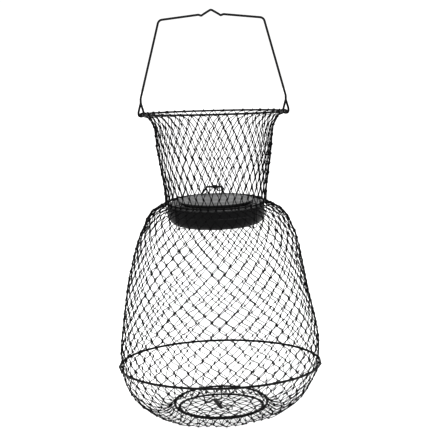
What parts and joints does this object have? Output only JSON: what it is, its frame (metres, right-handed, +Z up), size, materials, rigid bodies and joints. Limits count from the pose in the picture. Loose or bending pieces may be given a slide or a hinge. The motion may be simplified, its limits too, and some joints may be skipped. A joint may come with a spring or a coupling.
{
  "type": "collapsible floating fish basket",
  "caption": "Collapsible wire fish basket with a tapered neck, foam float ring, sprung lid, bottom emptying door and bail handle.",
  "frame": {"origin": "centre of the footprint on the surface the basket stands on", "axes": "+Z up through the bail, +X to the right along the bail's hinge line, -Y towards the front"},
  "size_m": [0.3358, 0.3358, 0.6605],
  "materials": {
    "hoop_wire": "satin",
    "netting_wire": "satin",
    "lacing_wire": "satin",
    "spring_wire": "satin",
    "foam": "matte",
    "lid_sheet": "satin"
  },
  "bodies": {
    "base": {"bottom_netting": "netting_wire", "base_ring": "hoop_wire", "base_lacing": "lacing_wire"},
    "hoop": {"body_netting": "netting_wire", "main_hoop": "hoop_wire", "hoop_lacing": "lacing_wire"},
    "waist": {"waist_ring": "hoop_wire", "waist_lacing": "lacing_wire", "neck_netting": "netting_wire", "float_ring": "foam", "float_ties": "lacing_wire", "lid_hinge_bracket": "hoop_wire"},
    "lid": {"lid_disc": "lid_sheet", "lid_rim_wire": "hoop_wire", "lid_hinge_eyes": "hoop_wire", "lid_spring": "spring_wire"},
    "rim": {"rim_ring": "hoop_wire", "rim_lacing": "lacing_wire"},
    "bail": {"bail_handle": "hoop_wire"},
    "door": {"door_ring": "hoop_wire", "door_lacing": "lacing_wire", "door_netting": "netting_wire", "door_hinge_clips": "hoop_wire"},
    "latch": {"door_yoke": "hoop_wire", "door_spring": "spring_wire", "door_hook": "hoop_wire"}
  },
  "joints": [
    {"name": "hoop_slide", "type": "slide", "parent": "base", "child": "hoop", "axis": [0, 0, 1], "range_m": [-0.066, 0], "deforming": ["bottom_netting"]},
    {"name": "waist_slide", "type": "slide", "parent": "hoop", "child": "waist", "axis": [0, 0, 1], "range_m": [-0.222, 0], "deforming": ["body_netting"]},
    {"name": "rim_slide", "type": "slide", "parent": "waist", "child": "rim", "axis": [0, 0, 1], "range_m": [-0.135, 0], "deforming": ["neck_netting"]},
    {"name": "bail_swing", "type": "hinge", "parent": "rim", "child": "bail", "pos_m": [0, 0, 0.4915], "axis": [1, 0, 0], "range_deg": [-55, 55]},
    {"name": "lid_open", "type": "hinge", "parent": "waist", "child": "lid", "pos_m": [0, 0.05343, 0.3696], "axis": [-1, 0, 0], "range_deg": [0, 85], "stiffness_Nm_per_rad": 0.006, "springref_deg": -17.19},
    {"name": "door_open", "type": "hinge", "parent": "base", "child": "door", "pos_m": [0, -0.07019, 0.0085], "axis": [-1, 0, 0], "range_deg": [0, 100], "stiffness_Nm_per_rad": 0.02, "springref_deg": -57.3},
    {"name": "yoke_swing", "type": "hinge", "parent": "base", "child": "latch", "pos_m": [-0.0172, 0.07195, 0.01994], "axis": [-0.9729, -0.2304, -0.0185], "range_deg": [0, 100]}
  ]
}
